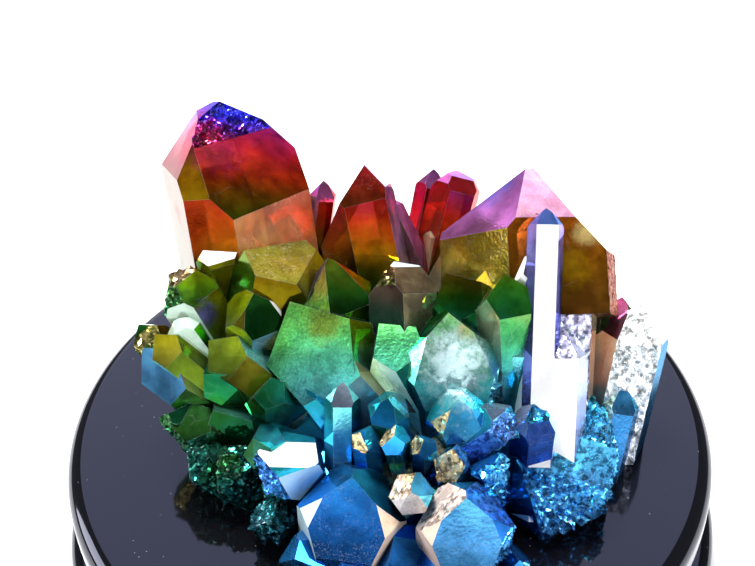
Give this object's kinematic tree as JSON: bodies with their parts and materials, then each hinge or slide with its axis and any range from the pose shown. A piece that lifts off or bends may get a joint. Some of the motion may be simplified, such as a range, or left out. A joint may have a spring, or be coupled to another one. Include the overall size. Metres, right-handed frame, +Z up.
{
  "type": "aura quartz cluster on a display stand",
  "caption": "Cluster of rainbow-coated quartz points grown from one broken base, resting on a round black lacquered stand.",
  "frame": {"origin": "middle of the stand's underside, on the surface that it stands on", "axes": "+Z up; -Y is the front, where the low blue crystals are; +X is to the right seen from the front"},
  "size_m": [0.12, 0.12, 0.0778],
  "materials": {
    "aura_quartz": "clear quartz with a metallic rainbow coating, frosted in places",
    "black_lacquer": "high-gloss black lacquer"
  },
  "bodies": {
    "root": {"quartz_cluster": "aura_quartz", "display_stand": "black_lacquer"}
  },
  "joints": []
}
